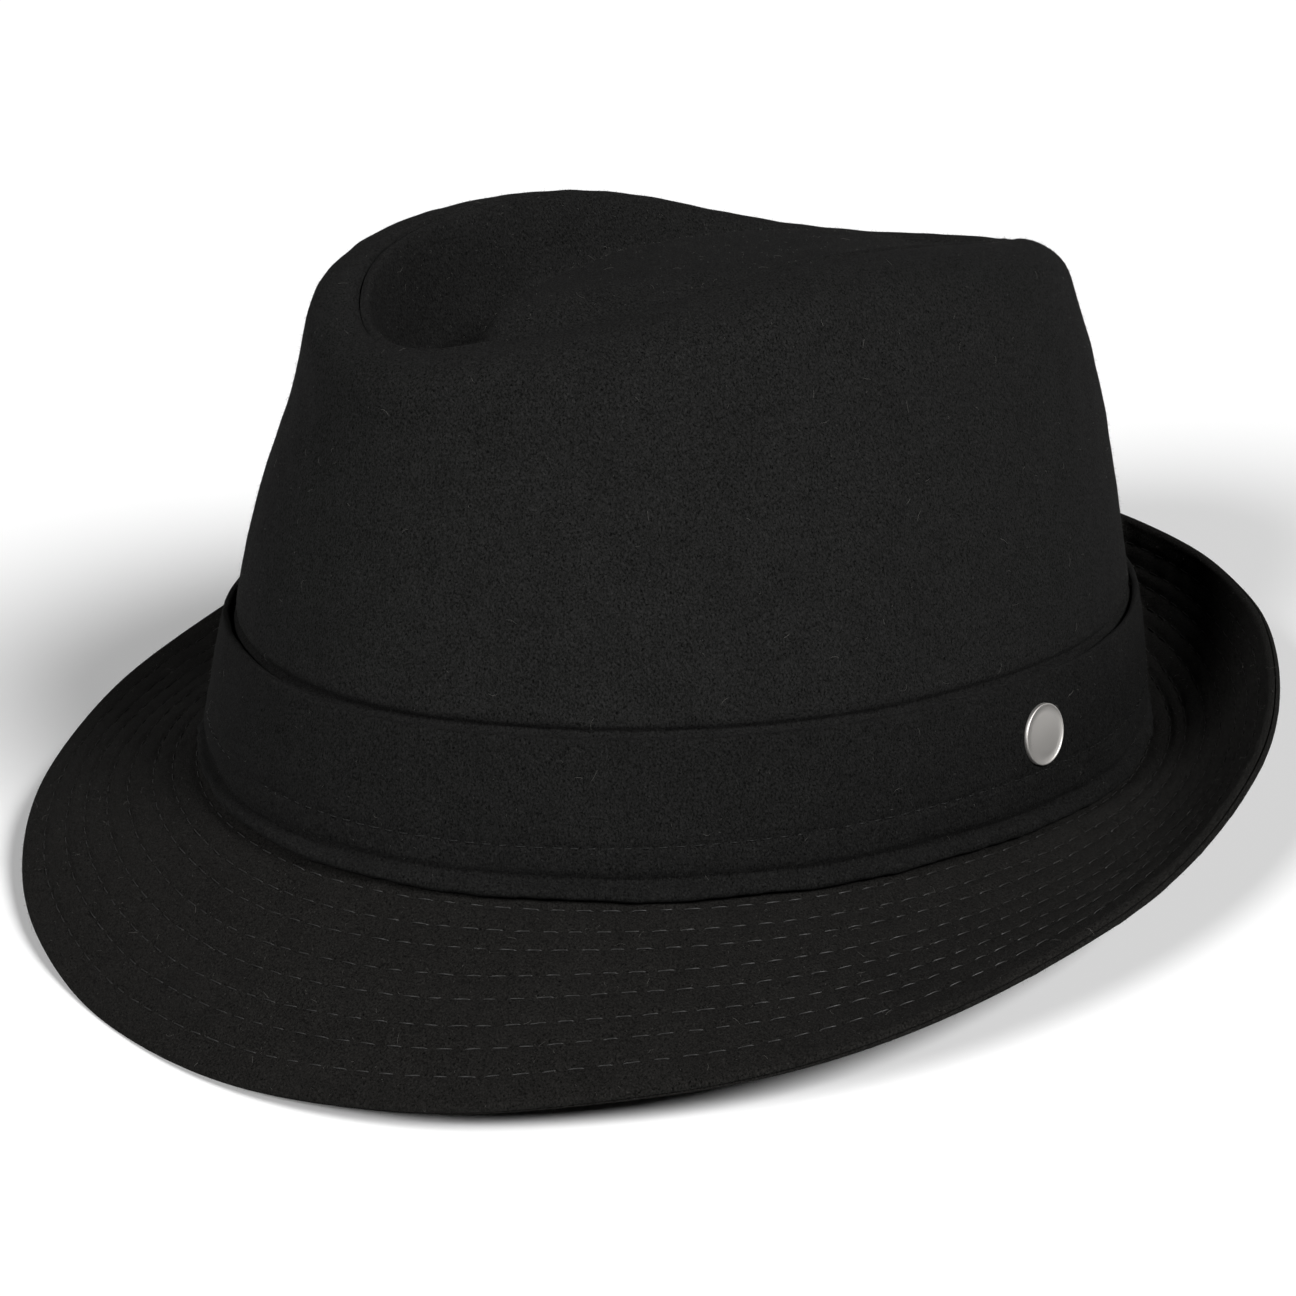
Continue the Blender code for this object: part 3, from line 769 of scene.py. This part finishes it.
def nap(name, grid, count, length, comb, finish, seed):
    """Short fibres standing out of the cloth, each a fine closed spike, combed up or down a little."""
    draw = np.random.default_rng(seed)
    place, normal = scatter(rest(grid), count, draw)
    way = unit(normal * draw.uniform(0.35, 1.0, (count, 1)) + np.array((0, 0, comb))
               + draw.normal(0, 0.45, (count, 3)))
    way = unit(way + normal * np.maximum(0.25 - (way * normal).sum(-1, keepdims=True), 0))
    side = unit(np.cross(way, draw.normal(size=(count, 3))))
    other = np.cross(way, side)
    lengths = length * draw.uniform(0.5, 1.4, (count, 1))
    root = place - way * lengths * 0.1
    swing = np.arange(3) * 2 * math.pi / 3
    base = [root + (side * math.cos(a) + other * math.sin(a)) * NAP_WIDTH / 2 for a in swing]
    points = np.stack([*base, root + way * lengths], 1)
    points = points[points[..., 2].min(1) > FIBRE_CLEARANCE]
    first = np.arange(len(points))[:, None] * 4
    spike = np.array([(0, 2, 1), (0, 1, 3), (1, 2, 3), (2, 0, 3)])
    faces = (first[:, :, None] + spike).reshape(-1, 3)
    add_mesh(name, points.reshape(-1, 3), faces, finish)


def stray_fibres(name, grids, count, shortest, longest, finish, seed):
    """Pale fibres lying curled on the cloth, shared out over several grids."""
    draw = np.random.default_rng(seed)
    places = [scatter(rest(grid), round(count * share), draw) for grid, share in grids]
    place = np.concatenate([item[0] for item in places])
    normal = np.concatenate([item[1] for item in places])
    count = len(place)
    way = draw.normal(size=(count, 3))
    way = unit(way - normal * (way * normal).sum(-1, keepdims=True) * 0.85)
    side = unit(np.cross(way, normal))
    lengths = draw.uniform(shortest, longest, (count, 1))
    curl = draw.normal(0, 0.5, (count, 1))
    swing = np.arange(3) * 2 * math.pi / 3
    rings = []
    for t in np.linspace(0, 1, 4):
        centre = place + way * lengths * (t - 0.5) + side * lengths * curl * (t - 0.5) ** 2
        centre = centre + normal * (0.00012 + 0.0002 * math.sin(math.pi * t))
        rings += [centre + (side * math.cos(a) + normal * math.sin(a)) * FIBRE_RADIUS for a in swing]
    points = np.stack(rings, 1)
    points = points[points[..., 2].min(1) > FIBRE_CLEARANCE]
    tube = []
    for step in range(3):
        for k in range(3):
            a, b = step * 3 + k, step * 3 + (k + 1) % 3
            tube += [(a, b, b + 3), (a, b + 3, a + 3)]
    tube += [(2, 1, 0), (9, 10, 11)]
    first = np.arange(len(points))[:, None, None] * 12
    add_mesh(name, points.reshape(-1, 3), (first + np.array(tube)).reshape(-1, 3), finish)


def badge(finish):
    """Bare satin disc with a fine raised edge, pressed a little into the band."""
    spread = BADGE_RADIUS / HEAD_HALF_WIDTH
    turn = BADGE_ANGLE + np.array([-spread, 0.0, spread])
    height = foot(turn) + BADGE_HEIGHT
    low, high = wall_ring(height - BADGE_RADIUS, turn), wall_ring(height + BADGE_RADIUS, turn)
    middle = wall_ring(height, turn)
    sideways = unit(middle[2] - middle[0])
    normal = unit(np.cross(sideways, high[1] - low[1]))
    upwards = np.cross(normal, sideways)
    centre = middle[1] + normal * (BAND_GAP + BAND_THICK + BAND_GAP)
    swing = stations(96)
    ring = np.cos(swing)[:, None] * sideways + np.sin(swing)[:, None] * upwards
    rows = [centre + ring * BADGE_RADIUS * share + normal * rise for share, rise in BADGE_PROFILE]
    middles = [centre + normal * BADGE_PROFILE[end][1] for end in (0, -1)]
    points = np.concatenate([*rows, middles])
    faces = ring_faces(len(rows), len(swing), False).tolist()
    back, front, last = len(points) - 2, len(points) - 1, (len(rows) - 1) * len(swing)
    for k in range(len(swing)):
        right = (k + 1) % len(swing)
        faces += [(k, back, right), (last + k, last + right, front)]
    add_mesh("satin_badge", rest(points), faces, finish, ("badge",))


def shader_of(name):
    """A new material with its node tree and its shader."""
    item = bpy.data.materials.new(name)
    item.use_nodes = True
    return item, item.node_tree, item.node_tree.nodes["Principled BSDF"]


def add_node(tree, kind, inputs=None, **settings):
    """A node with its settings, and with its inputs set or linked."""
    node = tree.nodes.new(kind)
    for key, value in settings.items():
        setattr(node, key, value)
    for key, value in (inputs or {}).items():
        if isinstance(value, bpy.types.NodeSocket):
            tree.links.new(value, node.inputs[key])
        else:
            node.inputs[key].default_value = value
    return node


def wool(name, tone, light):
    """Milled wool: a fine grain of clumped nap with painted shade in its hollows, hair-like fibres over it,
    cloudy patches and a faint sheen.
    """
    item, tree, shader = shader_of(name)
    where = add_node(tree, "ShaderNodeTexCoord").outputs["Object"]
    brushed = add_node(tree, "ShaderNodeMapping", {"Vector": where, "Scale": (1.0, 1.0, 0.7)}).outputs["Vector"]
    grain = add_node(tree, "ShaderNodeTexNoise", {"Vector": brushed, "Scale": 2700.0, "Detail": 4.0,
                                                  "Roughness": 0.72, "Distortion": 0.6}).outputs["Fac"]
    hairs = add_node(tree, "ShaderNodeTexNoise", {"Vector": brushed, "Scale": 900.0, "Detail": 3.0,
                                                  "Roughness": 0.6, "Distortion": 1.6},
                     noise_type="RIDGED_MULTIFRACTAL", normalize=True).outputs["Fac"]
    cloud = add_node(tree, "ShaderNodeTexNoise", {"Vector": where, "Scale": 110.0, "Detail": 3.0,
                                                  "Roughness": 0.6}).outputs["Fac"]
    spread = "ShaderNodeMapRange"
    grainy = add_node(tree, spread, {"Value": grain, "From Min": 0.33, "From Max": 0.68}).outputs[0]
    hairy = add_node(tree, spread, {"Value": hairs, "From Min": 0.48, "From Max": 0.76}).outputs[0]
    cloudy = add_node(tree, spread, {"Value": cloud, "From Min": 0.3, "From Max": 0.7,
                                     "To Min": 0.92, "To Max": 1.08}).outputs[0]
    fine = add_node(tree, "ShaderNodeMath", {0: grainy, 1: 0.65}, operation="MULTIPLY").outputs[0]
    mixed = add_node(tree, "ShaderNodeMath", {0: hairy, 1: 0.35, 2: fine}, operation="MULTIPLY_ADD").outputs[0]
    # Painted shade: the grain's low spots, where the bump sinks, get the body colour darkened to near black
    hollow = (*(value * HOLLOW_SHADE for value in tone), 1.0)
    shade = add_node(tree, "ShaderNodeMix", data_type="RGBA")
    factor, dark, bright = (socket for socket in shade.inputs if socket.enabled)
    tree.links.new(mixed, factor)
    dark.default_value = hollow
    bright.default_value = (*light, 1.0)
    shaded = next(socket for socket in shade.outputs if socket.enabled)
    toned = add_node(tree, "ShaderNodeVectorMath", {0: shaded, "Scale": cloudy}, operation="SCALE").outputs[0]
    tree.links.new(toned, shader.inputs["Base Color"])
    bump = add_node(tree, "ShaderNodeBump", {"Strength": 1.0, "Distance": 0.00026, "Height": mixed}).outputs[0]
    tree.links.new(bump, shader.inputs["Normal"])
    shader.inputs["Roughness"].default_value = 0.95
    shader.inputs["Specular IOR Level"].default_value = 0.02
    shader.inputs["Sheen Weight"].default_value = 0.007
    shader.inputs["Sheen Roughness"].default_value = 0.15
    return item


def fibre(name, colour, roughness=0.7):
    item, _, shader = shader_of(name)
    shader.inputs["Base Color"].default_value = (*colour, 1.0)
    shader.inputs["Roughness"].default_value = roughness
    shader.inputs["Specular IOR Level"].default_value = 0.03
    return item


def sewing_thread(name, colour, glint):
    """Dark grey polyester thread that glints along its middle."""
    item, _, shader = shader_of(name)
    shader.inputs["Base Color"].default_value = (*colour, 1.0)
    shader.inputs["Roughness"].default_value = 0.38
    shader.inputs["Specular IOR Level"].default_value = glint
    return item


def satin_metal(name):
    """Blasted and lightly brushed steel."""
    item, tree, shader = shader_of(name)
    where = add_node(tree, "ShaderNodeTexCoord").outputs["Object"]
    lines = add_node(tree, "ShaderNodeMapping", {"Vector": where, "Scale": (1.0, 0.12, 1.0)}).outputs["Vector"]
    brushed = add_node(tree, "ShaderNodeTexNoise",
                       {"Vector": lines, "Scale": 9000.0, "Detail": 3.0}).outputs["Fac"]
    rough = add_node(tree, "ShaderNodeMapRange", {"Value": brushed, "To Min": 0.48, "To Max": 0.60}).outputs[0]
    tree.links.new(rough, shader.inputs["Roughness"])
    bump = add_node(tree, "ShaderNodeBump",
                    {"Strength": 0.25, "Distance": 0.00003, "Height": brushed}).outputs[0]
    tree.links.new(bump, shader.inputs["Normal"])
    shader.inputs["Base Color"].default_value = (*METAL_COLOUR, 1.0)
    shader.inputs["Metallic"].default_value = 1.0
    return item


def direction(azimuth, elevation):
    """Unit vector toward a place at an azimuth from the front of the hat and an elevation, in radians."""
    return Vector((math.sin(azimuth) * math.cos(elevation), -math.cos(azimuth) * math.cos(elevation),
                   math.sin(elevation)))


def stage():
    """Pale floor, a faint light all round, and two broad soft lamps in front and at the wearer's left."""
    mesh = bpy.data.meshes.new("floor")
    half = FLOOR_HALF
    corners = [(-half, -half, 0), (half, -half, 0), (half, half, 0), (-half, half, 0)]
    mesh.from_pydata(corners, [], [(0, 1, 2, 3)])
    item, _, shader = shader_of("pale_floor")
    shader.inputs["Base Color"].default_value = FLOOR_COLOUR
    shader.inputs["Roughness"].default_value = 1.0
    shader.inputs["Specular IOR Level"].default_value = 0.0
    mesh.materials.append(item)
    floor = bpy.data.objects.new("floor", mesh)
    bpy.context.scene.collection.objects.link(floor)
    world = bpy.data.worlds.new("studio")
    world.use_nodes = True
    background = world.node_tree.nodes["Background"]
    background.inputs["Color"].default_value = WORLD_COLOUR
    background.inputs["Strength"].default_value = WORLD_STRENGTH
    bpy.context.scene.world = world
    for name, (azimuth, elevation, strength) in LAMPS.items():
        light = bpy.data.lights.new(name, "SUN")
        light.angle = LAMP_SPREAD
        light.energy = strength
        lamp = bpy.data.objects.new(name, light)
        bpy.context.scene.collection.objects.link(lamp)
        toward_lamp = direction(math.radians(azimuth), math.radians(elevation))
        lamp.rotation_mode = "QUATERNION"
        lamp.rotation_quaternion = (-toward_lamp).to_track_quat("-Z", "Y")


def camera():
    """Camera of the photograph."""
    back = direction(CAMERA_AZIMUTH, CAMERA_ELEVATION)
    level_right = Vector((math.cos(CAMERA_AZIMUTH), math.sin(CAMERA_AZIMUTH), 0.0))
    level_up = back.cross(level_right)
    right = level_right * math.cos(CAMERA_ROLL) + level_up * math.sin(CAMERA_ROLL)
    up = back.cross(right)
    data = bpy.data.cameras.new("camera")
    data.sensor_width = 36.0
    data.lens = CAMERA_LENS
    item = bpy.data.objects.new("camera", data)
    bpy.context.scene.collection.objects.link(item)
    item.matrix_world = Matrix.Translation(CAMERA_PLACE) @ Matrix((right, up, back)).transposed().to_4x4()
    bpy.context.scene.camera = item


def main():
    crown_cloth = wool("crown_wool_cloth", *CROWN_COLOURS)
    band_cloth = wool("band_wool_cloth", *BAND_COLOURS)
    brim_cloth = wool("brim_wool_cloth", *BRIM_COLOURS)
    dark_fibre = fibre("dark_wool_fibre", DARK_FIBRE_COLOUR)
    pale_fibre = fibre("pale_wool_fibre", PALE_FIBRE_COLOUR, 0.5)
    grey_thread = sewing_thread("grey_thread", BRIM_THREAD_COLOUR, 0.5)
    dark_thread = sewing_thread("dark_thread", BAND_THREAD_COLOUR, 0.25)
    side = crown_side(crown_cloth)
    tip = crown_tip(crown_cloth)
    band = hat_band(band_cloth)
    brim = brim_layer("wool_brim_top", True, brim_cloth, ("brim_top",), 720)
    under = brim_layer("wool_brim_under", False, brim_cloth, ("brim_under",), 480)
    fine = stations(720)
    thread("brim_stitches", brim_threads(fine, True), grey_thread)
    thread("brim_stitches_under", brim_threads(fine, False), grey_thread, 4, 3)
    thread("band_stitches", band_thread(fine), dark_thread)
    for name, grid, count, length, comb, slot, seed in (
            ("crown_side_nap", side[6:], 26000, 0.0009, -0.35, "crown_wool", 81),
            ("crown_tip_nap", tip[4:], 9000, 0.0009, 0, "crown_wool", 82),
            ("band_nap", band[3:], 9000, 0.0008, -0.3, "band_wool", 83),
            ("brim_top_nap", brim[:-6], 17000, 0.0009, 0, "brim_wool", 84),
            ("brim_under_nap", under[6:], 7000, 0.0008, 0, "brim_wool", 85)):
        nap(name, grid, count, length, comb, dark_fibre, seed)
    for name, shares, count, shortest, longest, seed in (
            ("stray_fibres", (0.42, 0.14, 0.12, 0.32), 380, 0.0008, 0.0024, 91),
            ("pale_specks", (0.15, 0.30, 0.10, 0.45), 1600, 0.0002, 0.0006, 92)):
        grids = tuple(zip((side[8:], tip[6:], band[8:], brim[:-8]), shares))
        stray_fibres(name, grids, count, shortest, longest, pale_fibre, seed)
    badge(satin_metal("satin_badge_metal"))
    stage()
    camera()
    bpy.context.scene.view_settings.view_transform = "Standard"


main()
